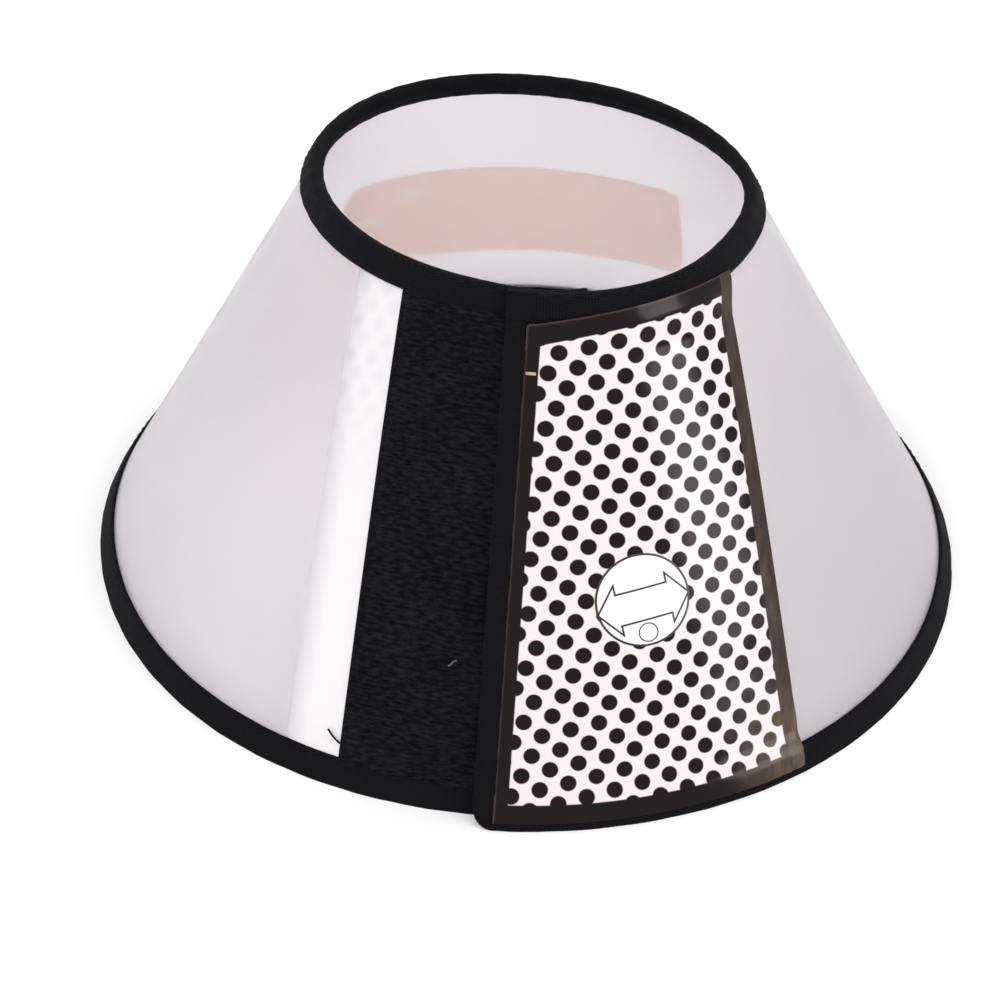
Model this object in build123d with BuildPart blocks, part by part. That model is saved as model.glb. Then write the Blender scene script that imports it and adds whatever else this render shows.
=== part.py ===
from build123d import *
import os
from math import atan2, cos, degrees, hypot, radians, sin

# A pet cone (elizabethan collar): one thin plastic sheet rolled into an open-ended cone, bound with
# fabric along its edges and closed by a flap of hook-and-loop tape. Units are millimetres and degrees.
# The cone stands on its wide rim with +Z up. Azimuth 0 is the front (-Y) and grows towards +X.

# ---- driving dimensions -------------------------------------------------------------------------
RIM_RADIUS = 112.5        # radius of the sheet's middle surface at the rim's level
NECK_RADIUS = 52.9        # radius of the sheet's middle surface at the neck's level
HEIGHT = 102.6            # from the rim's level to the neck's level
SHEET_HALF = 0.3          # half the thickness of the plastic sheet
RIM_HALF = 1.2            # half the thickness of the bound rim
NECK_HALF = 1.5           # half the thickness of the padded neck edge
END_HALF = 1.2            # half the thickness of the binding on the sheet's two straight ends
RIM_BAND = 6.3            # how far the rim binding reaches up the slope
NECK_BAND = 5.4           # how far the neck binding reaches down the slope
END_BAND = 5.0            # width of the binding on the straight ends
SHEET_INSET = 0.9         # the sheet's curved edges stop this far inside the bindings
END_WEB = 0.5             # azimuth taken by the fabric folded round each straight end
END_CLEAR = 5.2           # tapes and films stop this far from the straight ends
TAPE_WIDTH = 38.0         # stock width of the hook-and-loop tape
TAPE_THICKNESS = 0.9
FILM_THICKNESS = 0.25
THREAD_WIDTH = 0.5
THREAD_HEIGHT = 0.2
THREAD_INSET = 1.3        # from the thread's middle to the edge that it holds
JOINT_GAP = 0.4           # azimuth left open between neighbouring segments

# The sheet runs once round and a little more, so the flap lies over the inner end. It is cut along
# generators into rigid segments. SEGMENTS gives each one's name, its azimuth at both ends, and how
# far its radius is let out, which grows towards the flap as in a rolled sheet.
LET_OUT = 1.9
FLAP_EDGE = -5.3
FLAP_CREASE = 60.0
FLAP_ROOT = 68.0
INNER_ROOT = 313.0
INNER_EDGE = 373.1
STEP = (INNER_ROOT - FLAP_ROOT) / 7
MIDDLE_NAMES = ["right_front", "right_side", "right_back", "back", "left_back", "left_side", "left_front"]
SEGMENTS = [
    ("flap", FLAP_EDGE, FLAP_CREASE, 3 * LET_OUT),
    ("flap_root", FLAP_CREASE, FLAP_ROOT, 3 * LET_OUT),
]
for count, middle_name in enumerate(MIDDLE_NAMES):
    start = FLAP_ROOT + count * STEP
    SEGMENTS.append((middle_name, start, start + STEP, max(0, 2 - count) * LET_OUT))
SEGMENTS.append(("inner_end", INNER_ROOT, INNER_EDGE, 0.0))

# The cone's axis stands off the origin, because the origin is the middle of the bounding box's base.
AXIS_X = -LET_OUT
AXIS_Y = 1.5 * LET_OUT

# ---- worked-out values --------------------------------------------------------------------------
LEAN = atan2(RIM_RADIUS - NECK_RADIUS, HEIGHT)
SLANT = hypot(RIM_RADIUS - NECK_RADIUS, HEIGHT)
SHEET_TOP = SLANT - SHEET_INSET
NECK_LOW = SLANT - NECK_BAND
TAPE_LOW = RIM_BAND + 0.3
TAPE_HIGH = NECK_LOW - 0.3
MIDDLE = (RIM_BAND + NECK_LOW) / 2


def spot(along, out, let_out=0.0):
    """A point of the cone's section as (radius, height): along is up the slope, out is off the sheet."""
    radius = RIM_RADIUS + let_out - along * sin(LEAN) + out * cos(LEAN)
    return (radius, along * cos(LEAN) + out * sin(LEAN))


def section_plane(azimuth):
    """The upright plane through the cone's axis at an azimuth, with x outwards and y up."""
    turn = radians(azimuth - 90)
    return Plane(origin=(0, 0, 0), x_dir=(cos(turn), sin(turn), 0), z_dir=(sin(turn), -cos(turn), 0))


def surface_plane(azimuth, along, turn=0.0):
    """The plane that touches the sheet, with x round the cone, y up the slope and z outwards."""
    turn_xy = radians(azimuth - 90)
    radius, height = spot(along, 0)
    touching = Plane(
        origin=(radius * cos(turn_xy), radius * sin(turn_xy), height),
        x_dir=(-sin(turn_xy), cos(turn_xy), 0),
        z_dir=(cos(LEAN) * cos(turn_xy), cos(LEAN) * sin(turn_xy), sin(LEAN)),
    )
    return touching.rotated((0, 0, turn))


def end_plane(azimuth, let_out):
    """The touching plane half-way up a straight end of the sheet, on the sheet's middle surface."""
    plane = surface_plane(azimuth, MIDDLE)
    plane.origin = plane.origin + plane.z_dir * let_out * cos(LEAN)
    return plane


def shell(low, high, inner, outer, let_out):
    """The four corners of a thin layer of the section, from low to high along the slope."""
    return [spot(low, inner, let_out), spot(low, outer, let_out),
            spot(high, outer, let_out), spot(high, inner, let_out)]


def turn_profile(points, start, end):
    """Turns a closed outline of the section round the cone's axis, inside an open BuildPart."""
    with BuildSketch(section_plane(start)) as profile:
        with BuildLine():
            Polyline(*points, close=True)
        make_face()
    revolve(profile.sketch, axis=Axis.Z, revolution_arc=end - start)


def save(builder, name):
    """Puts a finished piece in the part's frame, labels it and writes it."""
    piece = builder.part.moved(Location((AXIS_X, AXIS_Y, 0)))
    piece.label = name
    export_step(piece, f"parts/{name}.step")
    return piece


# ---- the rolled sheet ---------------------------------------------------------------------------
def sheet_segment(start, end, let_out):
    with BuildPart() as sheet:
        turn_profile(shell(SHEET_INSET, SHEET_TOP, -SHEET_HALF, SHEET_HALF, let_out), start, end)
    return sheet


# ---- fabric bindings ----------------------------------------------------------------------------
def rim_segment(start, end, let_out):
    """A folded strip round the rim, trimmed level underneath so that the cone stands on it."""
    level = RIM_HALF * sin(LEAN) / cos(LEAN)
    corners = [(-level, RIM_HALF), (RIM_BAND, RIM_HALF), (RIM_BAND, SHEET_HALF),
               (SHEET_INSET, SHEET_HALF), (SHEET_INSET, -SHEET_HALF), (RIM_BAND, -SHEET_HALF),
               (RIM_BAND, -RIM_HALF), (level, -RIM_HALF)]
    with BuildPart() as rim:
        turn_profile([spot(along, out, let_out) for along, out in corners], start, end)
    return rim


def neck_segment(start, end, let_out):
    """A padded strip folded over the neck edge, with a round crest."""
    with BuildPart() as neck:
        with BuildSketch(section_plane(start)):
            with BuildLine():
                Polyline(
                    spot(SHEET_TOP, NECK_HALF, let_out), spot(NECK_LOW, NECK_HALF, let_out),
                    spot(NECK_LOW, SHEET_HALF, let_out), spot(SHEET_TOP, SHEET_HALF, let_out),
                    spot(SHEET_TOP, -SHEET_HALF, let_out), spot(NECK_LOW, -SHEET_HALF, let_out),
                    spot(NECK_LOW, -NECK_HALF, let_out), spot(SHEET_TOP, -NECK_HALF, let_out),
                )
                ThreePointArc(
                    spot(SHEET_TOP, -NECK_HALF, let_out),
                    spot(SHEET_TOP + NECK_HALF, 0, let_out),
                    spot(SHEET_TOP, NECK_HALF, let_out),
                )
            make_face()
        revolve(axis=Axis.Z, revolution_arc=end - start)
    return neck


def binding_thread(start, end, let_out):
    """The sewing thread that shows along the neck binding and the rim binding."""
    neck_line = NECK_LOW + THREAD_INSET
    rim_line = RIM_BAND - THREAD_INSET
    half = THREAD_WIDTH / 2
    with BuildPart() as thread:
        for line, face in ((neck_line, NECK_HALF), (rim_line, RIM_HALF)):
            turn_profile(shell(line - half, line + half, face, face + THREAD_HEIGHT, let_out), start, end)
    return thread


def end_binding(edge, side, let_out):
    """The strip folded round a straight end; side is 1 if the sheet lies beyond it, else -1."""
    reach = 8.0
    start, end = sorted((edge, edge + side * reach))
    web_start, web_end = sorted((edge, edge + side * END_WEB))
    low, high = RIM_BAND, NECK_LOW
    with BuildPart() as binding:
        turn_profile(shell(low, high, SHEET_HALF, END_HALF, let_out), start, end)
        turn_profile(shell(low, high, -END_HALF, -SHEET_HALF, let_out), start, end)
        with Locations(end_plane(edge, let_out) * Location((side * (END_BAND / 2 - 1), 0, 0))):
            Box(END_BAND + 2, 2 * SLANT, 40, mode=Mode.INTERSECT)
        turn_profile(shell(low, high, -SHEET_HALF, SHEET_HALF, let_out), web_start, web_end)
    return binding


# ---- tapes, films and labels --------------------------------------------------------------------
def strip(azimuth, turn, width, inner, outer, let_out, start, end, centre=0.0, clear_of=None):
    """A straight-sided strip laid on the cone, its long sides turned from the generator.

    clear_of is the azimuth of a bound straight end that the strip stops beside, END_CLEAR from it.
    """
    with BuildPart() as laid:
        turn_profile(shell(TAPE_LOW, TAPE_HIGH, inner, outer, let_out), start, end)
        with Locations(surface_plane(azimuth, MIDDLE, turn) * Location((centre, 0, 0))):
            Box(width, 3 * SLANT, 80, mode=Mode.INTERSECT)
        if clear_of is not None:
            side = 1 if clear_of < azimuth else -1
            with Locations(end_plane(clear_of, let_out) * Location((side * (END_CLEAR - 25), 0, 0))):
                Box(50, 3 * SLANT, 80, mode=Mode.SUBTRACT)
    return laid


def tape_thread(azimuth, turn, inner, outer, let_out, start, end):
    """Two rows of stitching, one along each long side of a tape."""
    offset = TAPE_WIDTH / 2 - THREAD_INSET
    with BuildPart() as rows:
        turn_profile(shell(TAPE_LOW, TAPE_HIGH, inner, outer, let_out), start, end)
        with Locations(surface_plane(azimuth, MIDDLE, turn)):
            Box(2 * offset + THREAD_WIDTH, 3 * SLANT, 80, mode=Mode.INTERSECT)
            Box(2 * offset - THREAD_WIDTH, 3 * SLANT, 80, mode=Mode.SUBTRACT)
    return rows


os.makedirs("parts", exist_ok=True)
pieces = []
for name, first, last, let_out in SEGMENTS:
    start = first + (0 if name == "flap" else JOINT_GAP / 2)
    end = last - (0 if name == "inner_end" else JOINT_GAP / 2)
    sheet_start = start + (END_WEB if name == "flap" else 0)
    sheet_end = end - (END_WEB if name == "inner_end" else 0)
    pieces.append(save(sheet_segment(sheet_start, sheet_end, let_out), f"cone_sheet_{name}"))
    pieces.append(save(rim_segment(start, end, let_out), f"rim_binding_{name}"))
    pieces.append(save(neck_segment(start, end, let_out), f"neck_binding_{name}"))
    pieces.append(save(binding_thread(start, end, let_out), f"binding_thread_{name}"))

FLAP_OUT = 3 * LET_OUT
pieces.append(save(end_binding(FLAP_EDGE, 1, FLAP_OUT), "flap_edge_binding"))
pieces.append(save(end_binding(INNER_EDGE, -1, 0.0), "inner_edge_binding"))

# The loop tape faces outwards on the inner end; its middle follows a generator.
LOOP_AZIMUTH = 347.3
LOOP_TOP = SHEET_HALF + TAPE_THICKNESS
loop_span = (INNER_ROOT + 5, INNER_EDGE - 0.6)
pieces.append(save(
    strip(LOOP_AZIMUTH, 0, TAPE_WIDTH, SHEET_HALF, LOOP_TOP, 0.0, *loop_span), "loop_tape"))
pieces.append(save(
    tape_thread(LOOP_AZIMUTH, 0, LOOP_TOP, LOOP_TOP + THREAD_HEIGHT, 0.0, *loop_span),
    "loop_tape_thread"))

# The hook tape faces inwards on the flap, beside the flap's free edge and parallel to it.
HOOK_AZIMUTH = 13.3
HOOK_TURN = (HOOK_AZIMUTH - FLAP_EDGE) * sin(LEAN)
hook_span = (FLAP_EDGE + 1, FLAP_CREASE - 5)
pieces.append(save(
    strip(HOOK_AZIMUTH, HOOK_TURN, TAPE_WIDTH, -LOOP_TOP, -SHEET_HALF, FLAP_OUT, *hook_span,
          clear_of=FLAP_EDGE), "hook_tape"))

# The printed film covers the flap's outer face, out to a straight edge near the flap's root.
FILM_TOP = SHEET_HALF + FILM_THICKNESS
FILM_SIDE_AZIMUTH = 43.5
FILM_SIDE_TURN = 12.4
FILM_WIDTH = 90.0
film_span = (FLAP_EDGE + 1, FLAP_CREASE - 1)
pieces.append(save(
    strip(FILM_SIDE_AZIMUTH, FILM_SIDE_TURN, FILM_WIDTH, SHEET_HALF, FILM_TOP, FLAP_OUT, *film_span,
          centre=-FILM_WIDTH / 2, clear_of=FLAP_EDGE), "printed_film"))

# A narrow white film lies beside the loop tape on the same face, on the side away from the sheet's end.
WHITE_WIDTH = 14.0
white_span = (INNER_ROOT + 1, INNER_EDGE - 1)
pieces.append(save(
    strip(LOOP_AZIMUTH, 0, WHITE_WIDTH, SHEET_HALF, FILM_TOP, 0.0, *white_span,
          centre=-(TAPE_WIDTH + WHITE_WIDTH) / 2), "white_strip"))

# The instruction label is one sticker on the back of the cone, cut where the segments meet.
LABEL_LOW = 0.24 * SLANT
LABEL_HIGH = 0.635 * SLANT
LABEL_START = 151.5
LABEL_END = 224.3
for name, first, last, let_out in SEGMENTS[4:7]:
    start = max(LABEL_START, first + JOINT_GAP / 2)
    end = min(LABEL_END, last - JOINT_GAP / 2)
    with BuildPart() as label:
        turn_profile(shell(LABEL_LOW, LABEL_HIGH, SHEET_HALF, FILM_TOP, let_out), start, end)
    pieces.append(save(label, f"label_{name}"))

whole = Compound(children=pieces).bounding_box()
print(len(pieces), "pieces, from", whole.min, "to", whole.max)
print("slant", round(SLANT, 2), "half angle", round(degrees(LEAN), 2))
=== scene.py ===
import math
import random

import bpy
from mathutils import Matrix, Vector


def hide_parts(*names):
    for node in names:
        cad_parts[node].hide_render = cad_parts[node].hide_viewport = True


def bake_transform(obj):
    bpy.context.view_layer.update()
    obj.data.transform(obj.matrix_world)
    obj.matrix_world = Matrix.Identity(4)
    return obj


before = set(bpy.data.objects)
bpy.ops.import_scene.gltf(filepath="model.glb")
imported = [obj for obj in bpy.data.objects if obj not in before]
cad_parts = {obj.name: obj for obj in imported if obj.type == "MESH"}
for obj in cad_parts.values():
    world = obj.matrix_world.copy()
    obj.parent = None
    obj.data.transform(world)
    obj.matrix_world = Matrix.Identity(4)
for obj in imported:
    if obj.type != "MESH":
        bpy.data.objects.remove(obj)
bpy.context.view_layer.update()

# A pet cone: one milky plastic sheet rolled once round and a little more, bound in black fabric.
# Shapes are worked out on the cone in millimetres and degrees, and turned to metres in skin().
# theta is the azimuth along the rolled sheet, from the flap's free edge to the inner end; 0 and 360
# are the front. along is the way up the slope, and out is the way off the sheet's middle surface.
MM = 0.001

# ---- the cone, as in the CAD model --------------------------------------------------------------
RIM_RADIUS = 112.5
NECK_RADIUS = 52.9
HEIGHT = 102.6
LET_OUT = 1.9
AXIS_X = -LET_OUT
AXIS_Y = 1.5 * LET_OUT
LEAN = math.atan2(RIM_RADIUS - NECK_RADIUS, HEIGHT)
SLANT = math.hypot(RIM_RADIUS - NECK_RADIUS, HEIGHT)
FLAT_TURN = math.sin(LEAN)                       # flat-pattern angle per degree of azimuth
RHO_RIM = RIM_RADIUS / FLAT_TURN                 # distance from the cone's point, along the slope
RHO_MIDDLE = RHO_RIM - SLANT / 2

FLAP_EDGE = -5.5
INNER_EDGE = 373.1
FLAP_CREASE = 60.0
FLAP_ROOT = 68.0
INNER_ROOT = 313.0
STEP = (INNER_ROOT - FLAP_ROOT) / 7
BODIES = ["flap", "flap_root", "right_front", "right_side", "right_back", "back",
          "left_back", "left_side", "left_front", "inner_end"]
HINGES = [FLAP_CREASE] + [FLAP_ROOT + k * STEP for k in range(8)]

# The sheet bends over each hinge from one BEND azimuth to the next; strips meet at SEAMS.
BENDS = [(50.5, 64.0), (64.0, FLAP_ROOT + STEP / 2)]
BENDS += [(h - STEP / 2, h + STEP / 2) for h in HINGES[2:]]
SEAMS = [FLAP_EDGE] + [end for start, end in BENDS[:-1]] + [INNER_EDGE]

# ---- thicknesses and edges ----------------------------------------------------------------------
SHEET_HALF = 0.3
SHEET_INSET = 0.9
NECK_HALF = 2.1
NECK_LOW = SLANT - 5.5
NECK_INSIDE = SLANT - 4.3
NECK_CREST = SLANT + 1.6
RIM_HALF = 1.2
RIM_BAND = 6.3
RIM_INSIDE = 5.6
END_BAND = 4.6
CORNER = 5.0
TAPE_WIDTH = 38.0
WHITE_WIDTH = 14.0
LOOP_THETA = 347.3


def ease(t):
    t = min(max(t, 0.0), 1.0)
    return t * t * (3 - 2 * t)


def bell(theta, middle, width):
    return math.exp(-((theta - middle) / width) ** 2)


def spread(theta, share):
    """How far the real sheet stands out from the round cone.

    The roll opens as a spiral towards the flap, the whole is slightly oval, and the flap, stiffened
    by its film and tape, lies flatter beyond the film and stands further out at its free edge.
    """
    turn = math.radians(theta)
    roll = ease(1 - (theta - FLAP_EDGE) / 150)
    flare = ease(1 - (theta - FLAP_EDGE) / 26)
    front = ease((math.cos(turn) + 0.3) / 0.8)
    rim = 4.2 * roll + 0.45 * flare
    rim += front * (0.45 + 0.55 * math.cos(2 * turn) - 0.3 * math.cos(4 * turn))
    neck = 2.3 * roll - 0.6 * ease((theta - 338) / 25)
    neck -= 2.2 * bell(theta, 57, 22) + 1.5 * bell(theta, 176, 34)
    oval = -(0.42 * (1 - share) + 2.84 * share) * math.cos(2 * math.radians(theta + 52.07))
    return rim * (1 - share) + neck * share + oval


def skin(theta, along, out=0.0):
    """The place of a point of the sheet, in metres."""
    share = along / SLANT
    radius = RIM_RADIUS - along * math.sin(LEAN) + spread(theta, share) + out * math.cos(LEAN)
    turn = math.radians(theta)
    return Vector((
        (AXIS_X + radius * math.sin(turn)) * MM,
        (AXIS_Y - radius * math.cos(turn)) * MM,
        (along * math.cos(LEAN) + out * math.sin(LEAN)) * MM,
    ))


def flat_of(theta, along, ref=0.0):
    """Flat-pattern coordinates in mm: x round the cone, y towards its point, from the generator ref."""
    rho = RHO_RIM - along
    turn = math.radians(theta - ref) * FLAT_TURN
    return rho * math.sin(turn), RHO_MIDDLE - rho * math.cos(turn)


def unflat(x, y, ref=0.0):
    """theta and along of a point of the flat pattern."""
    rho = math.hypot(x, RHO_MIDDLE - y)
    return ref + math.degrees(math.atan2(x, RHO_MIDDLE - y)) / FLAT_TURN, RHO_RIM - rho


def steps(start, end, pitch):
    count = max(1, math.ceil(abs(end - start) / pitch))
    return [start + (end - start) * k / count for k in range(count + 1)]


# ---- meshes -------------------------------------------------------------------------------------
def mesh_object(name, points, faces, material, uvs=None, smooth=True, crease=None, normals=None):
    """A new object. normals gives a normal for each vertex, and crease an angle for sharp edges."""
    mesh = bpy.data.meshes.new(name)
    mesh.from_pydata(points, [], faces)
    if uvs:
        layer = mesh.uv_layers.new(name="flat")
        for loop in mesh.loops:
            layer.data[loop.index].uv = uvs[loop.vertex_index]
    mesh.polygons.foreach_set("use_smooth", [smooth] * len(faces))
    mesh.materials.append(material)
    mesh.update()
    if crease:
        mesh.set_sharp_from_angle(angle=math.radians(crease))
    if normals:
        corners = []
        for face in mesh.polygons:
            flat = len(face.vertices) > 4                # a cap
            corners += [face.normal if flat else normals[v] for v in face.vertices]
        mesh.normals_split_custom_set(corners)
    thing = bpy.data.objects.new(name, mesh)
    bpy.context.scene.collection.objects.link(thing)
    return thing


def ring_faces(sections):
    """The quads between closed sections, with the outward side of each."""
    size = len(sections[0])
    for row in range(len(sections) - 1):
        for k in range(size):
            q = (k + 1) % size
            a, b, c, d = sections[row][k], sections[row][q], sections[row + 1][q], sections[row + 1][k]
            yield (row, k), (row, q), (row + 1, q), (row + 1, k), (c - a).cross(d - b)


def loft(name, sections, material, uvs=None, caps=(True, True), ghosts=(None, None)):
    """A tube through closed sections of equally many points.

    A ghost is the next section beyond an open end: it only shapes the shading there, so that two
    strips of one surface meet without a visible line.
    """
    size = len(sections[0])
    middle = [sum(section, Vector()) / size for section in sections]
    outward = sum(n.dot(sections[a[0]][a[1]] - middle[a[0]]) for a, b, c, d, n in ring_faces(sections))
    if outward < 0:
        sections = [list(reversed(section)) for section in sections]
        uvs = [list(reversed(row)) for row in uvs] if uvs else None
        ghosts = [list(reversed(g)) if g else None for g in ghosts]
    rows = ([ghosts[0]] if ghosts[0] else []) + sections + ([ghosts[1]] if ghosts[1] else [])
    sums = [[Vector() for _ in range(size)] for _ in rows]
    for *corners, normal in ring_faces(rows):
        for row, k in corners:
            sums[row][k] += normal
    first = 1 if ghosts[0] else 0
    normals = [n.normalized() for row in sums[first:first + len(sections)] for n in row]
    faces = [tuple(row * size + k for row, k in corners) for *corners, normal in ring_faces(sections)]
    if caps[0]:
        faces.append(tuple(range(size - 1, -1, -1)))
    if caps[1]:
        faces.append(tuple(range((len(sections) - 1) * size, len(sections) * size)))
    points = [p for section in sections for p in section]
    flat = [uv for row in uvs for uv in row] if uvs else None
    return mesh_object(name, points, faces, material, flat, normals=normals)


def slab(name, columns, rows, place, material, uv=None, under=0.2):
    """A thin closed sheet over a grid: place(column, row, depth) gives a point, depth 0 on top."""
    wide, high = len(columns), len(rows)
    below = wide * high
    points = [place(c, r, depth) for depth in (0.0, under) for r in rows for c in columns]
    faces = []
    for j in range(high - 1):
        for i in range(wide - 1):
            a = j * wide + i
            faces.append((a, a + 1, a + 1 + wide, a + wide))
            faces.append((a + below, a + wide + below, a + 1 + wide + below, a + 1 + below))
    edge = [i for i in range(wide)] + [j * wide + wide - 1 for j in range(1, high)]
    edge += [(high - 1) * wide + i for i in range(wide - 2, -1, -1)]
    edge += [j * wide for j in range(high - 2, 0, -1)]
    faces += [(a, a + below, b + below, b) for a, b in zip(edge, edge[1:] + edge[:1])]
    upward = (points[1] - points[0]).cross(points[wide] - points[0])
    if upward.dot(points[0] - points[below]) < 0:
        faces = [tuple(reversed(face)) for face in faces]
    uvs = [uv(c, r) for depth in (0, 1) for r in rows for c in columns] if uv else None
    return mesh_object(name, points, faces, material, uvs, crease=50)


def lay(piece, strip, slot, *nodes):
    """Bakes a piece's placement into its mesh and hides the CAD nodes that it stands for."""
    start, end = BENDS[strip]
    skin(start, NECK_CREST)
    skin(end, NECK_CREST)
    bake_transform(piece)
    if nodes:
        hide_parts(*nodes)
    return piece


def nodes_of(strip, kind):
    """The CAD nodes of one kind that a strip stands for."""
    names = [BODIES[strip]] + ([BODIES[-1]] if strip == len(BENDS) - 1 else [])
    return [f"{kind}_{name}" for name in names]


# ---- materials ----------------------------------------------------------------------------------
class Nodes:
    """A short way to write a node material round one Principled shader."""

    def __init__(self, name):
        self.material = bpy.data.materials.new(name)
        self.material.use_nodes = True
        self.tree = self.material.node_tree
        self.shader = next(n for n in self.tree.nodes if n.type == "BSDF_PRINCIPLED")

    def add(self, kind, inputs=(), **settings):
        node = self.tree.nodes.new(kind)
        for key, value in settings.items():
            setattr(node, key, value)
        for key, value in dict(inputs).items():
            self.put(node.inputs[key], value)
        return node

    def put(self, socket, value):
        if isinstance(value, bpy.types.NodeSocket):
            self.tree.links.new(value, socket)
        else:
            socket.default_value = value

    def math(self, operation, a, b=0.0, c=0.0):
        return self.add("ShaderNodeMath", {0: a, 1: b, 2: c}, operation=operation).outputs[0]

    def flat(self):
        """The flat-pattern coordinates, in mm."""
        split = self.add("ShaderNodeSeparateXYZ", {0: self.add("ShaderNodeUVMap", uv_map="flat").outputs[0]})
        return split.outputs[0], split.outputs[1]

    def noise(self, scale, detail=3.0, rough=0.55, vector=None):
        if vector is None:
            vector = self.add("ShaderNodeTexCoord").outputs["Object"]
        node = self.add("ShaderNodeTexNoise", {"Vector": vector, "Scale": scale, "Detail": detail,
                                               "Roughness": rough})
        return node.outputs[0]

    def away(self, x, y, middle):
        """Distance from a point of the flat pattern."""
        dx = self.math("SUBTRACT", x, middle[0])
        dy = self.math("SUBTRACT", y, middle[1])
        square = self.math("ADD", self.math("MULTIPLY", dx, dx), self.math("MULTIPLY", dy, dy))
        return self.math("SQRT", square)

    def span(self, value, start, end, top=1.0, smooth=False):
        """0 at start and top at end."""
        limits = {"Value": value, "From Min": start, "From Max": end, "To Max": top}
        kind = "SMOOTHSTEP" if smooth else "LINEAR"
        return self.add("ShaderNodeMapRange", limits, interpolation_type=kind).outputs[0]

    def ramp(self, factor, *stops):
        node = self.add("ShaderNodeValToRGB", {0: factor})
        ramp = node.color_ramp
        for k, (place, colour) in enumerate(stops):
            stop = ramp.elements[k] if k < 2 else ramp.elements.new(place)
            stop.position = place
            stop.color = (*colour, 1)
        return node.outputs[0]

    def bump(self, height, distance, strength=1.0):
        node = self.add("ShaderNodeBump", {"Height": height, "Distance": distance, "Strength": strength})
        self.put(self.shader.inputs["Normal"], node.outputs[0])

    def set(self, **values):
        for key, value in values.items():
            self.put(self.shader.inputs[key.replace("_", " ")], value)
        return self


def stripe(nodes, coordinate, pitch):
    """A wave from 0 to 1 that repeats every pitch mm."""
    wave = nodes.math("SINE", nodes.math("MULTIPLY", coordinate, 2 * math.pi / pitch))
    return nodes.math("MULTIPLY_ADD", wave, 0.5, 0.5)


PAINTED_SHADE_MIDDLE = (90.0, 8.0)                                 # middle of the painted shade on the sheet beside the film, on the flat pattern


def sheet_material():
    """Milky polypropylene: it scatters most light and lets some through, blurred.

    Beside the printed film its colour is darkened in a soft patch: painted shade.
    """
    n = Nodes("milky_plastic")
    x, y = n.flat()
    # painted shade: a soft darker patch in the sheet's colour beside the printed film
    painted_shade = n.span(n.away(x, y, PAINTED_SHADE_MIDDLE), 92.0, 22.0, smooth=True)
    cloud = n.math("MULTIPLY_ADD", n.noise(9.0, 2.0), 0.12, 0.88)
    tone = n.math("SUBTRACT", cloud, n.math("MULTIPLY", painted_shade, 0.65))
    n.set(Base_Color=n.ramp(tone, (0.0, (0.80, 0.78, 0.81)), (0.9, (0.972, 0.947, 0.972)),
                            (1.0, (0.985, 0.96, 0.98))))
    n.set(Roughness=n.math("MULTIPLY_ADD", n.noise(60.0), 0.1, 0.48))
    n.set(IOR=1.35, Transmission_Weight=0.85, Specular_IOR_Level=0.3)
    n.bump(n.noise(900.0, 2.0), 0.00003, 0.5)
    return n.material


def binding_material(name="binding_fabric", pitch=0.62):
    """Black woven strip: fine ribs across, floats along, and a little sheen."""
    n = Nodes(name)
    across, up = n.flat()
    weave = n.math("MULTIPLY", stripe(n, across, pitch), stripe(n, up, pitch * 0.8))
    fuzz = n.noise(2600.0, 3.0, 0.7)
    n.set(Base_Color=n.ramp(n.math("ADD", n.math("MULTIPLY", weave, 0.6), n.math("MULTIPLY", fuzz, 0.4)),
                            (0.2, (0.003, 0.0028, 0.0036)), (0.8, (0.010, 0.0088, 0.0115))))
    n.set(Roughness=0.8, Sheen_Weight=0.015, Sheen_Roughness=0.5, Specular_IOR_Level=0.06)
    n.bump(n.math("ADD", weave, n.math("MULTIPLY", fuzz, 0.6)), 0.00012, 0.8)
    return n.material


def loop_material():
    """Fuzzy loop pile in close rows: short lighter dashes of fibre on black, smooth at the selvages."""
    n = Nodes("loop_pile")
    across, up = n.flat()
    fuzz = n.noise(2200.0, 4.0, 0.75)
    run = {0: n.math("MULTIPLY", across, 0.42), 1: n.math("MULTIPLY", up, 1.25)}
    dash = n.noise(1.0, 2.0, 0.6, n.add("ShaderNodeCombineXYZ", run).outputs[0])
    patch = n.noise(90.0, 2.0)
    tone = n.math("ADD", n.math("MULTIPLY", dash, 0.62), n.math("ADD", n.math("MULTIPLY", fuzz, 0.2),
                                                               n.math("MULTIPLY", patch, 0.18)))
    n.set(Base_Color=n.ramp(tone, (0.42, (0.0025, 0.0025, 0.0032)), (0.66, (0.0165, 0.0158, 0.0195))))
    n.set(Roughness=0.95, Sheen_Weight=0.015, Sheen_Roughness=0.6, Specular_IOR_Level=0.04)
    n.bump(n.math("ADD", fuzz, dash), 0.00035, 1.0)
    return n.material


def thread_material():
    n = Nodes("black_thread")
    across, up = n.flat()
    twist = stripe(n, n.math("ADD", across, up), 0.35)
    n.set(Base_Color=n.ramp(twist, (0.2, (0.0028, 0.0028, 0.0033)), (0.8, (0.0085, 0.008, 0.0095))))
    n.set(Roughness=0.75, Sheen_Weight=0.01, Specular_IOR_Level=0.05)
    n.bump(twist, 0.00008, 0.8)
    return n.material


INK = (0.005, 0.0026, 0.0026)
PAPER = (0.722, 0.666, 0.664)
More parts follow.
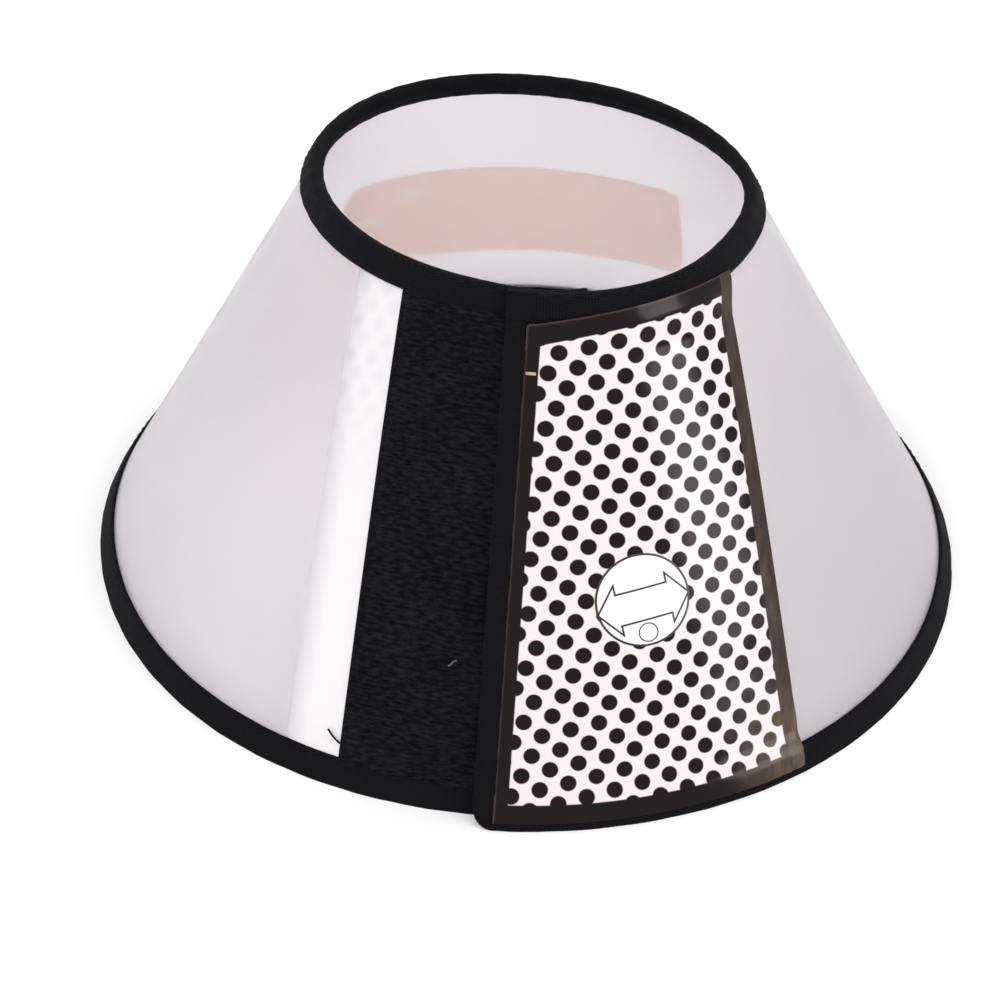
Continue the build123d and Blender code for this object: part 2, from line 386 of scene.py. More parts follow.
# the brown of the painted warm reflection on the film's dark margin
REFLECTION_BROWN = (0.15, 0.105, 0.08)
DOT_RADIUS = 1.82
DOT_ACROSS = 6.317
DOT_UP = 7.897
DOT_TURN = math.radians(13.72)
DOT_X, DOT_Y = 25.36, 7.76
PRINT_LEFT = 7.6
PRINT_RIGHT = (52.2, 8.0)
PRINT_RIGHT_TURN = math.radians(9.66)
PRINT_TOP = (3.0, 49.4)
PRINT_TOP_TURN = math.radians(14.6)
PRINT_BOTTOM = RHO_RIM - 0.047 * SLANT
FILM_LEFT = 4.5
FILM_BOTTOM = 1.2
FILM_RIGHT = PRINT_RIGHT[0] + 4.1
# middle of the painted brown reflection on the film's margin, near its lower right corner
PAINTED_REFLECTION_MIDDLE = (66.0, -42.0)
FILM_TOP_Y = 53.6
FILM_TOP_SLOPE = 0.204
FILM_TOP_BOW = 0.0012


def film_material():
    """Glossy film: black dots in staggered rows on white.

    Its dark margin has a painted highlight along its edge, and a painted warm brown reflection down its
    right side and most at the lower right corner.
    """
    n = Nodes("printed_film")
    x, y = n.flat()

    def grid(shift):
        """Distance to the nearest dot of one of the two interleaved grids."""
        dx = n.math("SUBTRACT", x, DOT_X)
        dy = n.math("SUBTRACT", y, DOT_Y)
        total = 0.0
        for a, b, pitch in ((math.cos(DOT_TURN), math.sin(DOT_TURN), DOT_ACROSS),
                            (-math.sin(DOT_TURN), math.cos(DOT_TURN), DOT_UP)):
            way = n.math("ADD", n.math("MULTIPLY", dx, a), n.math("MULTIPLY", dy, b))
            cell = n.math("ADD", n.math("DIVIDE", way, pitch), shift)
            near = n.math("MULTIPLY", n.math("SUBTRACT", cell, n.math("ROUND", cell)), pitch)
            total = n.math("ADD", n.math("MULTIPLY", near, near), total)
        return n.math("SQRT", total)

    def edge(value, width=0.12):
        """1 where value is above 0, over a soft width in mm."""
        return n.span(value, -width, width)

    outside_dot = n.math("MINIMUM", edge(n.math("SUBTRACT", grid(0.0), DOT_RADIUS)),
                         edge(n.math("SUBTRACT", grid(0.5), DOT_RADIUS)))
    below = n.math("SUBTRACT", y, RHO_MIDDLE)
    rho = n.math("SQRT", n.math("ADD", n.math("MULTIPLY", x, x), n.math("MULTIPLY", below, below)))
    left_turn = math.radians(FLAP_EDGE) * FLAT_TURN
    from_left = n.math("ADD", n.math("MULTIPLY", x, math.cos(left_turn)),
                       n.math("MULTIPLY", below, math.sin(left_turn)))
    right_x = n.math("SUBTRACT", PRINT_RIGHT[0], x)
    right_y = n.math("SUBTRACT", PRINT_RIGHT[1], y)
    from_right = n.math("ADD", n.math("MULTIPLY", right_x, math.cos(PRINT_RIGHT_TURN)),
                        n.math("MULTIPLY", right_y, math.sin(PRINT_RIGHT_TURN)))
    top_x = n.math("SUBTRACT", x, PRINT_TOP[0])
    top_y = n.math("SUBTRACT", PRINT_TOP[1], y)
    from_top = n.math("ADD", n.math("MULTIPLY", top_x, math.sin(PRINT_TOP_TURN)),
                      n.math("MULTIPLY", top_y, math.cos(PRINT_TOP_TURN)))
    white = outside_dot
    for limit in (n.math("SUBTRACT", from_left, PRINT_LEFT), from_right, from_top,
                  n.math("SUBTRACT", PRINT_BOTTOM, rho)):
        white = n.math("MULTIPLY", white, edge(limit))
    rise = n.math("MULTIPLY", x, n.math("MULTIPLY_ADD", x, FILM_TOP_BOW, FILM_TOP_SLOPE))
    top_edge = n.math("SUBTRACT", n.math("ADD", rise, FILM_TOP_Y), y)
    from_edge = n.math("MINIMUM", n.math("SUBTRACT", from_left, FILM_LEFT),
                       n.math("MINIMUM", n.math("ADD", from_right, FILM_RIGHT - PRINT_RIGHT[0]), top_edge))
    # painted highlight: a pale line along the film's edges
    painted_reflections = n.math("MULTIPLY", edge(n.math("SUBTRACT", 0.35, from_edge), width=0.2), 0.03)
    # painted reflection: warm brown streaks near the lower right corner and down the right margin
    reflection_spot = n.span(n.away(x, y, PAINTED_REFLECTION_MIDDLE), 24.0, 4.0, 0.11, smooth=True)
    run = {0: n.math("MULTIPLY", x, 0.5), 1: n.math("MULTIPLY", y, 0.12)}
    reflection_streaks = n.noise(1.0, 3.0, 0.6, n.add("ShaderNodeCombineXYZ", run).outputs[0])
    right_margin_reflection = n.math("MULTIPLY", edge(n.math("MULTIPLY", from_right, -1.0)), 0.05)
    painted_reflections = n.math("MAXIMUM", painted_reflections, n.math("MULTIPLY", n.math("MAXIMUM", reflection_spot, right_margin_reflection), reflection_streaks))
    n.set(Base_Color=n.ramp(n.math("MAXIMUM", white, painted_reflections), (0.0, INK), (0.1, REFLECTION_BROWN), (1.0, PAPER)))
    ripple = n.noise(70.0, 2.0)
    n.set(Roughness=n.math("MULTIPLY_ADD", ripple, 0.1, 0.11))
    n.set(Specular_IOR_Level=0.17)
    n.bump(ripple, 0.0009, 0.35)
    return n.material


def label_material():
    """Thin salmon film that lets light through, with a pale blotch and patch and three grey marks."""
    n = Nodes("salmon_label")
    theta, up = n.flat()

    def spot(middle, width, height):
        """1 in the middle of a soft oval, 0 outside it."""
        dx = n.math("DIVIDE", n.math("SUBTRACT", theta, middle[0]), width)
        dy = n.math("DIVIDE", n.math("SUBTRACT", up, middle[1]), height)
        away = n.math("SQRT", n.math("ADD", n.math("MULTIPLY", dx, dx), n.math("MULTIPLY", dy, dy)))
        ragged = n.math("ADD", away, n.math("MULTIPLY", n.noise(160.0), 0.9))
        return n.span(ragged, 1.45, 0.75)

    tone = n.math("MULTIPLY", n.noise(25.0, 3.0), 0.12)
    for middle, width, height, weight in (((203.5, 65), 4.2, 4.2, 0.5), ((212, 54), 6.0, 2.4, 0.36)):
        tone = n.math("MAXIMUM", tone, n.math("MULTIPLY", spot(middle, width, height), weight))
    for middle in ((196, 39.7), (176.5, 42.0), (167, 43.4)):
        tone = n.math("MAXIMUM", tone, spot(middle, 1.5, 1.0))
    n.set(Base_Color=n.ramp(tone, (0.0, (1.0, 0.70, 0.595)), (0.36, (1.0, 0.86, 0.74)),
                            (0.5, (1.0, 0.95, 0.93)), (0.75, (0.72, 0.62, 0.60)), (1.0, (0.6, 0.5, 0.49))))
    n.set(Roughness=0.3, IOR=1.08, Transmission_Weight=1.0, Specular_IOR_Level=0.3)
    n.bump(n.noise(700.0), 0.00004, 0.5)
    return n.material


def white_film_material():
    """White film: it fades in from the sheet's own tone at its outer edge, with a ghost of dots."""
    n = Nodes("white_film")
    across, up = n.flat()
    total = None
    for shift in (0.0, 0.5):
        near = []
        for way, start, pitch in ((n.math("MULTIPLY_ADD", up, -0.08, across), -32.87, 6.32), (up, 98.4, 7.9)):
            cell = n.math("ADD", n.math("DIVIDE", n.math("SUBTRACT", way, start), pitch), shift)
            off = n.math("MULTIPLY", n.math("SUBTRACT", cell, n.math("ROUND", cell)), pitch)
            near.append(n.math("MULTIPLY", off, off))
        away = n.math("SQRT", n.math("ADD", *near))
        total = away if total is None else n.math("MINIMUM", total, away)
    dot = n.add("ShaderNodeMapRange", {"Value": total, "From Min": 0.6, "From Max": 2.6,
                                       "To Min": 1.0, "To Max": 0.0}).outputs[0]
    upper = n.span(up, 68.0, 96.0)
    ghost = n.math("MULTIPLY", n.math("MULTIPLY", dot, upper), 0.3)
    fade = n.span(n.math("ADD", across, n.math("MULTIPLY", n.noise(40.0), 1.5)), -32.6, -27.0)
    n.set(Base_Color=n.ramp(n.math("SUBTRACT", fade, ghost), (0.0, (0.58, 0.555, 0.585)),
                            (1.0, (0.765, 0.745, 0.76))))
    n.set(Roughness=0.4, Specular_IOR_Level=0.3)
    n.bump(n.noise(60.0), 0.0002, 0.2)
    return n.material


def plain_material(name, low, high, rough, scale=80.0, **more):
    """A near-even colour that drifts between two tones, with fine grain."""
    n = Nodes(name)
    n.set(Base_Color=n.ramp(n.noise(scale, 4.0), (0.35, low), (0.65, high)))
    n.set(Roughness=n.math("MULTIPLY_ADD", n.noise(400.0), 0.1, rough))
    n.set(**more)
    n.bump(n.noise(1500.0), 0.00004, 0.5)
    return n.material


PLASTIC = sheet_material()
FABRIC = binding_material()
PILE = loop_material()
THREAD = thread_material()
FILM = film_material()
WHITE_FILM = white_film_material()
LABEL = label_material()
HOOKS = plain_material("hook_tape", (0.008, 0.008, 0.01), (0.02, 0.02, 0.024), 0.55, 700.0)
STAMP_WHITE = plain_material("stamp_white", (0.76, 0.745, 0.75), (0.79, 0.775, 0.78), 0.3)
STAMP_INK = plain_material("stamp_ink", INK, (0.03, 0.024, 0.024), 0.3)
SCUFF = plain_material("scuff", (0.30, 0.22, 0.16), (0.5, 0.38, 0.3), 0.6, 1500.0)
LINT = plain_material("lint", (0.05, 0.05, 0.055), (0.10, 0.10, 0.11), 0.85, 3000.0)


# ---- the sheet and its bindings -----------------------------------------------------------------
def edge_distance(theta, along):
    """Distance in mm from the flap's free edge, round the cone."""
    return math.radians(theta - FLAP_EDGE) * FLAT_TURN * (RHO_RIM - along)


def corner_lift(theta):
    """How far the rounded lower corner of the flap lifts the rim's edge."""
    reach = edge_distance(theta, 0)
    if reach >= CORNER:
        return 0.0
    return CORNER - math.sqrt(max(CORNER ** 2 - (CORNER - reach) ** 2, 0.0))


def thetas(start, end):
    """Azimuths of a strip, finer next to the flap's rounded corner."""
    found = steps(start, end, 1.5)
    if start == FLAP_EDGE:
        found = steps(start, start + 3, 0.3)[:-1] + steps(start + 3, end, 1.5)
    return found


def along_strip(strip, name, material, section):
    """A strip of a surface that goes round the whole roll, from its section(theta) as place and uv."""
    start, end = SEAMS[strip], SEAMS[strip + 1]
    first, last = strip == 0, strip == len(BENDS) - 1
    found = [section(theta) for theta in thetas(start, end)]
    ghosts = (None if first else section(start - 1.5)[0], None if last else section(end + 1.5)[0])
    return loft(f"{name}_{strip + 1}", [places for places, uvs in found], material,
                [uvs for places, uvs in found], caps=(first, last), ghosts=ghosts)


def sheet_section(theta):
    low = SHEET_INSET + corner_lift(theta)
    high = crest_along(theta) - 2.5
    rows = [low + (high - low) * k / 13 for k in range(14)]
    path = [(a, -SHEET_HALF) for a in rows] + [(a, SHEET_HALF) for a in reversed(rows)]
    return [skin(theta, a, o) for a, o in path], [flat_of(theta, a) for a, o in path]


def padded_half(theta):
    """Half the thickness of the neck binding, which thins where its two ends overlap."""
    flap_end = ease((theta - FLAP_EDGE) / 16)
    inner_end = ease((INNER_EDGE - theta) / 30)
    thin = 1 - 0.16 * bell(theta, 92, 34)
    return NECK_HALF * thin * (0.72 + 0.28 * flap_end) * (0.6 + 0.4 * inner_end)


def crest_along(theta):
    """The neck binding's crest, which is pressed lower where the flap's edge lies over it."""
    return NECK_CREST - 1.1 * bell(theta, 364, 13)


def neck_section(theta):
    """The padded strip's section: two soft legs and a round crest, as (along, out) points."""
    half = padded_half(theta)
    path = [(NECK_LOW, SHEET_HALF), (NECK_LOW, half * 0.55), (NECK_LOW + 0.5, half * 0.86),
            (NECK_LOW + 1.6, half)]
    crest = crest_along(theta) - half
    path.append(((NECK_LOW + crest) / 2 + 0.6, half * 1.02))
    path += [(crest + half * math.sin(t), half * math.cos(t))
             for t in [math.pi * k / 8 for k in range(9)]]
    path.append(((NECK_LOW + crest) / 2 + 0.6, -half * 1.02))
    path += [(NECK_INSIDE + 1.6, -half), (NECK_INSIDE + 0.5, -half * 0.86),
             (NECK_INSIDE, -half * 0.55), (NECK_INSIDE, -SHEET_HALF)]
    return path


def rim_section(theta):
    """The rim strip's section, flat underneath where it stands, as (along, out) points."""
    level = RIM_HALF * math.tan(LEAN)
    lift = corner_lift(theta)
    half = RIM_HALF
    return [
        (lift - level + 0.35, half * 0.98), (lift + 1.0, half * 1.04), (lift + 3.0, half),
        (RIM_BAND - 1.2, half), (RIM_BAND - 0.4, half * 0.86), (RIM_BAND, half * 0.5),
        (RIM_INSIDE, -half * 0.5), (RIM_INSIDE - 0.4, -half * 0.86), (RIM_INSIDE - 1.2, -half),
        (lift + 3.0, -half), (lift + level, -half), (lift - level + 0.05, half * 0.85),
    ]


def wobble(theta, seed, size):
    """A small repeatable unevenness of sewn fabric along an edge."""
    return size * (math.sin(theta * 0.9 + seed) + 0.6 * math.sin(theta * 2.3 + 2 * seed)
                   + 0.4 * math.sin(theta * 5.1 + 3 * seed))


def sewn(outline, seed):
    """The section of a sewn binding: its outline with a little unevenness, as place and uv."""
    def section(theta):
        path = outline(theta)
        shake = wobble(theta, seed, 0.05)
        places = [skin(theta, a, o + (shake if abs(o) > SHEET_HALF else 0)) for a, o in path]
        return places, [flat_of(theta, a + 2 * o) for a, o in path]
    return section


def stitches(strip, name, along, out, pitch=3.1, length=2.3, radius=0.2):
    """A row of sewn stitches round the cone: each is a small rounded bar that dips at its ends."""
    start, end = SEAMS[strip], SEAMS[strip + 1]
    points, faces, uvs = [], [], []
    degrees_per_mm = math.degrees(1 / (FLAT_TURN * (RHO_RIM - along)))
    theta = start + 0.6 * pitch * degrees_per_mm
    while theta + length * degrees_per_mm < end:
        first = len(points)
        for k in range(5):
            share = k / 4
            at = theta + share * length * degrees_per_mm
            dip = radius * (1 - math.sin(math.pi * (0.12 + 0.76 * share))) * 1.6
            half = padded_half(at) if name == "neck_stitches" else RIM_HALF
            for q in range(6):
                turn = math.pi / 3 * q
                a = along + radius * math.sin(turn) * (0.7 if k in (0, 4) else 1)
                o = half + out - dip + radius * math.cos(turn) * (0.7 if k in (0, 4) else 1)
                points.append(skin(at, a, o))
                uvs.append(flat_of(at, a))
        for k in range(4):
            for q in range(6):
                a = first + k * 6 + q
                b = first + k * 6 + (q + 1) % 6
                faces.append((a, b, b + 6, a + 6))
        faces.append(tuple(first + q for q in range(5, -1, -1)))
        faces.append(tuple(first + 24 + q for q in range(6)))
        theta += pitch * degrees_per_mm
    return mesh_object(f"{name}_{strip + 1}", points, faces, THREAD, uvs)


for strip in range(len(BENDS)):
    lay(along_strip(strip, "sheet", PLASTIC, sheet_section), strip, "sheet",
        *nodes_of(strip, "cone_sheet"))
    lay(along_strip(strip, "neck_binding", FABRIC, sewn(neck_section, 0.7)), strip, "binding",
        *nodes_of(strip, "neck_binding"))
    lay(along_strip(strip, "rim_binding", FABRIC, sewn(rim_section, 1.9)), strip, "binding",
        *nodes_of(strip, "rim_binding"))
    lay(stitches(strip, "neck_stitches", NECK_LOW + 1.5, -0.05), strip, "thread",
        *nodes_of(strip, "binding_thread"))
    lay(stitches(strip, "rim_stitches", RIM_BAND - 1.5, -0.05), strip, "thread")


def end_binding(name, edge, side, strip, low_of, seed):
    """The strip folded round a straight end of the sheet, as a loft up the slope."""
    sections, uvs = [], []
    for k, along in enumerate(steps(low_of, NECK_LOW + 0.4, 2.5)):
        degree = math.degrees(1 / (FLAT_TURN * (RHO_RIM - along)))
        half = RIM_HALF + 0.12 + wobble(along, seed, 0.03)
        wide = END_BAND + wobble(along, seed + 1, 0.06)
        fold = 0.75
        path = [(wide, SHEET_HALF), (wide, half * 0.7), (wide - 0.4, half), (fold, half),
                (0.0, half * 0.8), (-0.35, half * 0.3), (-0.35, -half * 0.3), (0.0, -half * 0.8),
                (fold, -half), (wide - 0.4, -half), (wide, -half * 0.7), (wide, -SHEET_HALF)]
        lower = 0.0
        if side > 0 and along < CORNER:
            lower = CORNER - math.sqrt(max(CORNER ** 2 - (CORNER - along) ** 2, 0.0))
        sections.append([skin(edge + side * max(w, lower) * degree, along, o) for w, o in path])
        uvs.append([(w + 30 * o, along) for w, o in path])
    return loft(name, sections, FABRIC, uvs)


lay(end_binding("flap_edge_binding", FLAP_EDGE, 1, 0, 0.6, 0.3), 0, "binding", "flap_edge_binding")
lay(end_binding("inner_edge_binding", INNER_EDGE, -1, 8, 1.2, 1.1), 8, "binding", "inner_edge_binding")


# ---- tapes, films, label and small things -------------------------------------------------------
def tape_place(theta_middle, lean, out_of):
    """Place of a straight tape's point: w across from its middle line, a up the slope."""
    def place(w, a, depth):
        ref_x, ref_y = 0.0, a - SLANT / 2
        x = ref_x + w * math.cos(lean) + ref_y * math.sin(lean)
        y = ref_y * math.cos(lean) - w * math.sin(lean)
        theta, along = unflat(x, y, theta_middle)
        return skin(theta, along, out_of(w, a, depth))
    return place


def loop_tape():
    """The loop tape: smooth selvages and ribbed pile between them."""
    half = TAPE_WIDTH / 2
    selvage = 1.6
    rng = random.Random(4)
    jitter = {}

    def out_of(w, a, depth):
        base = SHEET_HALF + 0.02
        if depth:
            return base
        inside = min(half - abs(w), 30.0)
        rise = 0.42 + 0.45 * ease((inside - selvage * 0.7) / 0.8)
        key = (round(w, 2), round(a, 2))
        if key not in jitter:
            jitter[key] = rng.uniform(-0.09, 0.09)
        rib = 0.11 * math.sin(2 * math.pi * a / 0.95 + 0.5 * math.sin(w * 0.31)) if inside > selvage else 0.0
        return base + rise + rib + (jitter[key] if inside > selvage else 0.0)

    columns = [-half, -half + 0.3] + steps(-half + selvage, half - selvage, 0.75) + [half - 0.3, half]
    rows = steps(RIM_BAND - 0.6, NECK_LOW + 2.2, 0.24)
    return slab("loop_tape", columns, rows, tape_place(LOOP_THETA, 0.0, out_of), PILE,
                uv=lambda w, a: (w, a), under=1.0)


def hook_tape():
    """The hook tape on the flap's inner face, beside its free edge."""
    rng = random.Random(9)

    def out_of(w, a, depth):
        base = -SHEET_HALF - 0.02
        return base if depth else base - 0.55 - rng.uniform(0, 0.3)

    middle = 13.3
    lean = math.radians((middle - FLAP_EDGE) * FLAT_TURN)
    half = TAPE_WIDTH / 2 - 0.5
    columns = steps(-half, half, 1.2)
    rows = steps(RIM_BAND + 1, NECK_LOW - 1, 1.2)
    return slab("hook_tape", columns, rows, tape_place(middle, lean, out_of), HOOKS,
                uv=lambda w, a: (w, a), under=1.0)


def tape_stitches():
    """Straight rows of stitches down both sides of the loop tape."""
    points, faces, uvs = [], [], []
    place = tape_place(LOOP_THETA, 0.0, lambda w, a, depth: depth)
    for side in (-1, 1):
        line = side * (TAPE_WIDTH / 2 - 0.9)
        for a in steps(RIM_BAND + 0.5, NECK_LOW - 2.8, 3.0)[:-1]:
            first = len(points)
            for k in range(4):
                at = a + 2.2 * k / 3
                lift = SHEET_HALF + (0.62 if k in (1, 2) else 0.45)
                for q in range(6):
                    turn = math.pi / 3 * q
                    points.append(place(line + 0.17 * math.sin(turn), at, lift + 0.17 * math.cos(turn)))
                    uvs.append((line, at))
            for k in range(3):
                for q in range(6):
                    b = first + k * 6 + q
                    c = first + k * 6 + (q + 1) % 6
                    faces.append((b, c, c + 6, b + 6))
            faces.append(tuple(first + q for q in range(5, -1, -1)))
            faces.append(tuple(first + 18 + q for q in range(6)))
    return mesh_object("loop_tape_stitches", points, faces, THREAD, uvs)


def film_right_theta(along):
    """Azimuth of the film's straight right edge at a height: the print's edge moved out by its margin."""
    low, high = 0.0, 70.0
    for _ in range(30):
        middle = (low + high) / 2
        x, y = flat_of(middle, along)
        inside = ((FILM_RIGHT - x) * math.cos(PRINT_RIGHT_TURN)
                  + (PRINT_RIGHT[1] - y) * math.sin(PRINT_RIGHT_TURN))
        low, high = (middle, high) if inside > 0 else (low, middle)
    return (low + high) / 2


def film_out(theta, along):
    """The film lies on the sheet and climbs over the rim binding and the neck binding."""
    on_rim = ease((RIM_BAND + 3.4 - along) / 5.0)
    on_neck = ease((along - NECK_LOW + 9) / 9.6)
    crinkle = 0.0
    side = film_right_theta(along) - theta
    if along < 26 and side < 9:
        share = (1 - along / 26) * (1 - side / 9)
        crinkle = 0.5 * share * math.sin(side * 2.1 + along * 0.35) ** 2
    climb = on_rim * (RIM_HALF - SHEET_HALF + 0.08) + on_neck * (padded_half(theta) - SHEET_HALF + 0.12)
    return SHEET_HALF + 0.1 + climb + crinkle


def printed_film():
    rows = steps(0, 0.12, 0.007)[:-1] + steps(0.12, 0.9, 0.016)[:-1] + steps(0.9, 1, 0.008)
    columns = [k / 48 for k in range(49)]

    def across(c, along):
        left = FLAP_EDGE + math.degrees(FILM_LEFT / (FLAT_TURN * (RHO_RIM - along)))
        return left + (film_right_theta(along) - left) * c

    def top(c):
        """The film's top edge climbs from the neck binding's lower edge on to the binding."""
        along = 0.95 * SLANT
        for _ in range(8):
            turn = math.radians(across(c, along)) * FLAT_TURN
            x = (RHO_RIM - along) * math.sin(turn)
            rise = FILM_TOP_SLOPE * x + FILM_TOP_BOW * x * x
            along = RHO_RIM - (RHO_MIDDLE - FILM_TOP_Y - rise) / math.cos(turn)
        return along

    tops = {c: top(c) for c in columns}

    def where(c, r):
        along = FILM_BOTTOM + (tops[c] - FILM_BOTTOM) * r
        return across(c, along), along

    def place(c, r, depth):
        theta, along = where(c, r)
        return skin(theta, along, film_out(theta, along) + 0.22 - depth)

    return slab("printed_film", columns, rows, place, FILM, uv=lambda c, r: flat_of(*where(c, r)), under=0.2)


def white_strip():
    """The white film on the outer face beside the loop tape."""
    columns = steps(-TAPE_WIDTH / 2 - WHITE_WIDTH, -TAPE_WIDTH / 2 + 0.4, 1.5)
    rows = steps(RIM_BAND - 0.3, NECK_LOW + 5.0, 3.0)
    left = columns[0]

    def out_of(w, a, depth):
        return SHEET_HALF + 0.02 + 0.12 * ease((w - left) / 3) - depth

    place = tape_place(LOOP_THETA, 0.0, out_of)
    return slab("white_strip", columns, rows, place, WHITE_FILM, uv=lambda w, a: (w, a), under=0.12)


lay(loop_tape(), 8, "loop", "loop_tape")
lay(tape_stitches(), 8, "thread", "loop_tape_thread")
lay(hook_tape(), 0, "hook", "hook_tape")
lay(printed_film(), 0, "printed_film", "printed_film")
lay(white_strip(), 8, "white_film", "white_strip")


def label_strip(strip, node):
    """The salmon label on the cone's back, cut where the sheet's strips meet."""
    low, high = 0.24 * SLANT, 0.635 * SLANT
    columns = [k / 16 for k in range(17)]

    def azimuth(c, a):
        lean = 6.0 * (a - low) / (high - low)
        start = max(151.5 - lean, SEAMS[strip])
        end = min(224.3 - lean, SEAMS[strip + 1])
        return start + (end - start) * c

    def place(c, a, depth):
        return skin(azimuth(c, a), a, SHEET_HALF + 0.22 - depth)

    return lay(slab(f"label_{strip + 1}", columns, steps(low, high, 6.0), place, LABEL,
                    uv=lambda c, a: (azimuth(c, a), a), under=0.18),
               strip, "label", node)


for strip, node in ((3, "label_right_back"), (4, "label_back"), (5, "label_left_back")):
    label_strip(strip, node)


# ---- the stamp on the film ----------------------------------------------------------------------
STAMP = (25.3, -7.3)
STAMP_RADIUS = 10.6
STAMP_TURN = math.radians(14.0)


def on_film(x, y, out):
    """A point of the stamp's own plane, laid on the film."""
    c, s = math.cos(STAMP_TURN), math.sin(STAMP_TURN)
    theta, along = unflat(STAMP[0] + x * c - y * s, STAMP[1] + x * s + y * c)
    return skin(theta, along, SHEET_HALF + 0.32 + out)


def stamp_disc(name, radius, material, out, inner=0.0):
    """A printed disc, or a ring if inner is above 0, a hair thick."""
    rings = [inner, radius] if inner else [0.02, radius * 0.35, radius * 0.7, radius]
    around = 72
    sections = []
    for r, top in [(r, out + 0.03) for r in rings] + [(r, out) for r in reversed(rings)]:
        sections.append([on_film(r * math.cos(2 * math.pi * k / around),
                                 r * math.sin(2 * math.pi * k / around), top) for k in range(around)])
    piece = loft(name, sections + sections[:1] if inner else sections, material, caps=(not inner, not inner))
    return lay(piece, 0, "printed_film")


def outline(name, corners, width, out, material):
    """A printed closed line through corners, width mm wide, with mitred corners."""
    count = len(corners)
    edges = []
    for k in range(count):
        before, here, after = (Vector(corners[(k + j) % count]) for j in (-1, 0, 1))
        a, b = (here - before).normalized(), (after - here).normalized()
        normal = Vector((-(a + b).y, (a + b).x)).normalized()
        reach = width / 2 / max(normal.dot(Vector((-a.y, a.x))), 0.35)
        edges.append((here - normal * reach, here + normal * reach))
    sections = []
    for k in range(count):
        (inner, outer), (next_inner, next_outer) = edges[k], edges[(k + 1) % count]
        for share in (0.0, 0.25, 0.5, 0.75):
            p, q = inner.lerp(next_inner, share), outer.lerp(next_outer, share)
            sections.append([on_film(v.x, v.y, o) for v, o in
                             ((p, out), (q, out), (q, out + 0.03), (p, out + 0.03))])
    piece = loft(name, sections + sections[:1], material, caps=(False, False))
    return lay(piece, 0, "printed_film")


stamp_disc("stamp_disc", STAMP_RADIUS, STAMP_WHITE, 0.02)
stamp_disc("stamp_ring", STAMP_RADIUS, STAMP_INK, 0.05, inner=STAMP_RADIUS - 0.48)
ARROW = [(-10.4, -1.0), (-5.8, 4.8), (-5.8, 2.6), (5.8, 2.6), (5.8, 4.8),
         (10.4, -1.0), (5.8, -6.8), (5.8, -4.6), (-5.8, -4.6), (-5.8, -6.8)]
outline("stamp_arrow", ARROW, 0.42, 0.05, STAMP_INK)
TURN = 2 * math.pi / 24
SIZE_RING = [(2.1 * math.cos(k * TURN) - 0.4, 2.1 * math.sin(k * TURN) - 7.5) for k in range(24)]
outline("stamp_size_ring", SIZE_RING, 0.26, 0.05, STAMP_INK)


def scuff():
    """A small beige scuff on the film's left margin."""
    def place(x, y, depth):
        theta, along = unflat(x, y)
        return skin(theta, along, film_out(theta, along) + 0.25 - depth)
    return slab("film_scuff", steps(-0.9, 1.2, 0.35), steps(42.5, 43.2, 0.35), place, SCUFF, under=0.05)


lay(scuff(), 0, "printed_film")


# ---- thread tail and lint -----------------------------------------------------------------------
def tube(name, route, radius, material, sides=6):
    """A thin round tube through a few points."""
    route = [Vector(p) for p in route]
    sections = []
    for k, here in enumerate(route):
        way = (route[min(k + 1, len(route) - 1)] - route[max(k - 1, 0)]).normalized()
        side = way.cross(Vector((0.2, -1.0, 0.4))).normalized()
        up = side.cross(way)
        sections.append([here + (side * math.cos(2 * math.pi * q / sides)
                                 + up * math.sin(2 * math.pi * q / sides)) * radius * MM
                         for q in range(sides)])
    uvs = [[(q, k) for q in range(sides)] for k in range(len(route))]
    return loft(name, sections, material, uvs)


def on_tape(w, a, out):
    return tape_place(LOOP_THETA, 0.0, lambda w, a, depth: out)(w, a, 0)


TAIL = [(-18.9, 10.4, 1.0), (-20.0, 11.2, 1.25), (-20.9, 11.9, 1.3), (-21.8, 12.7, 1.15), (-22.3, 13.1, 0.95)]
lay(tube("thread_tail", [on_tape(*p) for p in TAIL], 0.24, THREAD), 8, "thread")
LINT_ROUTE = [(4.2, 33.0, 1.3), (4.7, 33.5, 1.5), (5.2, 34.2, 1.55), (5.9, 34.6, 1.3)]
lay(tube("lint", [on_tape(*p) for p in LINT_ROUTE], 0.26, LINT), 8, "loop")


# ---- floor, light and camera --------------------------------------------------------------------
def floor():
    n = Nodes("floor")
    n.set(Base_Color=n.ramp(n.noise(3.0), (0.3, (0.93, 0.93, 0.935)), (0.7, (0.95, 0.95, 0.95))))
    n.set(Roughness=0.9, Specular_IOR_Level=0.1)
    size = 6.0
    corners = [(-size, -size, 0), (size, -size, 0), (size, size, 0), (-size, size, 0)]
    mesh_object("floor", corners, [(0, 1, 2, 3)], n.material, smooth=False)


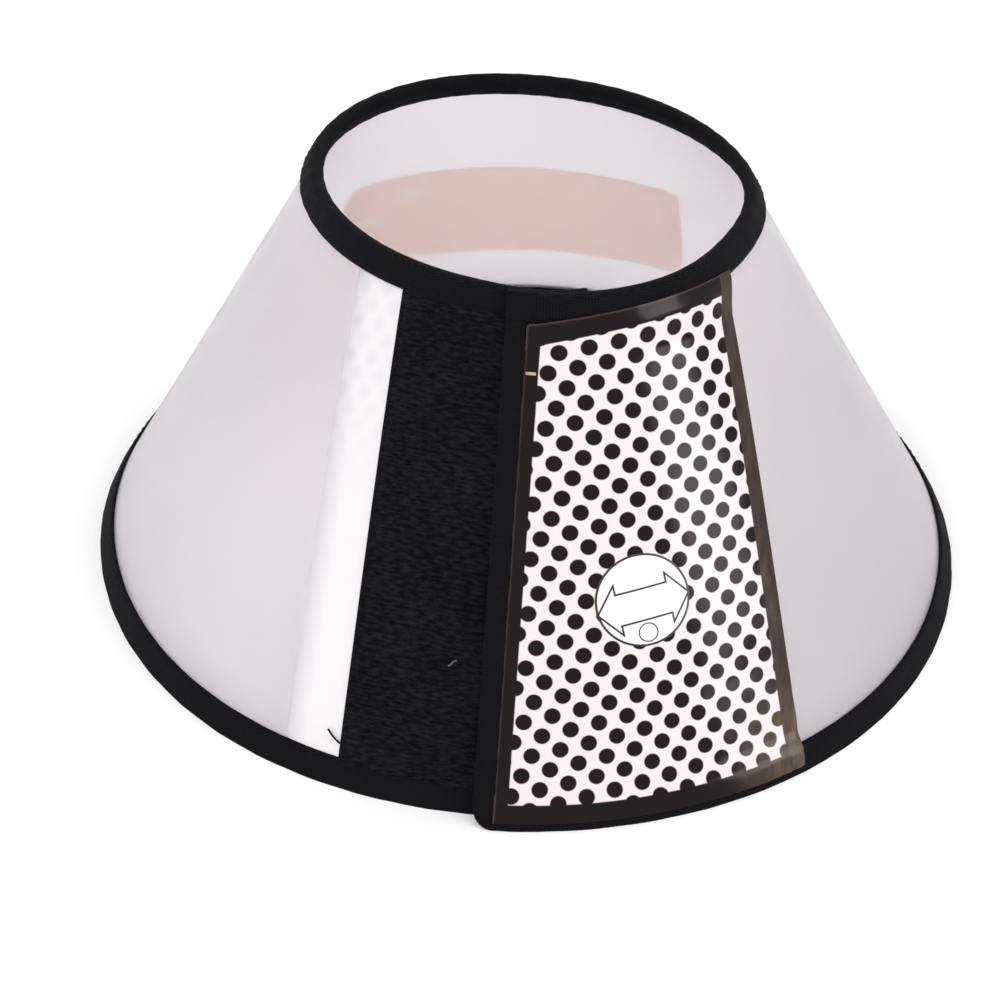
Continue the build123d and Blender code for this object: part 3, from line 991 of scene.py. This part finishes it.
def area_light(name, place, aim, size, watts, colour=(1, 1, 1)):
    lamp = bpy.data.lights.new(name, "AREA")
    lamp.shape = "RECTANGLE"
    lamp.size, lamp.size_y = size
    lamp.energy = watts
    lamp.color = colour
    thing = bpy.data.objects.new(name, lamp)
    thing.location = place
    thing.rotation_euler = (Vector(aim) - Vector(place)).to_track_quat("-Z", "Y").to_euler()
    bpy.context.scene.collection.objects.link(thing)


def studio():
    world = bpy.data.worlds.new("studio")
    bpy.context.scene.world = world
    world.use_nodes = True
    back = next(n for n in world.node_tree.nodes if n.type == "BACKGROUND")
    back.inputs[0].default_value = (1.0, 0.995, 1.0, 1)
    back.inputs[1].default_value = 1.0
    area_light("key", (-0.7, -0.9, 1.3), (0, 0, 0.05), (0.9, 0.9), 6.5)
    area_light("side", (0.84, -0.52, 0.38), (0.03, -0.05, 0.07), (0.42, 0.34), 2.6, (1.0, 0.95, 0.9))


ELEVATION = math.radians(37.11)
ROLL = math.radians(1.02)
DISTANCE = 570.0
AIM = (-6.18, 0.0, 4.18)
FOCAL_PIXELS = 2105.7


def camera():
    """Looks at the cone from the front and above, with the lens worked out for a 36 mm sensor."""
    lens = bpy.data.cameras.new("camera")
    lens.sensor_width = 36.0
    lens.lens = FOCAL_PIXELS / 1000 * lens.sensor_width
    thing = bpy.data.objects.new("camera", lens)
    back = Vector((0, -math.cos(ELEVATION), math.sin(ELEVATION)))
    right = Vector((1, 0, 0))
    up = back.cross(right)
    turned_right = right * math.cos(ROLL) + up * math.sin(ROLL)
    turned_up = up * math.cos(ROLL) - right * math.sin(ROLL)
    aim = Vector((AXIS_X + AIM[0], AXIS_Y + AIM[1], AIM[2]))
    matrix = thing.matrix_world.copy()
    for k, axis in enumerate((turned_right, turned_up, back)):
        for row in range(3):
            matrix[row][k] = axis[row]
    matrix.translation = (aim + back * DISTANCE) * MM
    thing.matrix_world = matrix
    lens.clip_start = 0.01
    bpy.context.scene.collection.objects.link(thing)
    bpy.context.scene.camera = thing


floor()
studio()
camera()
bpy.context.scene.view_settings.view_transform = "Standard"
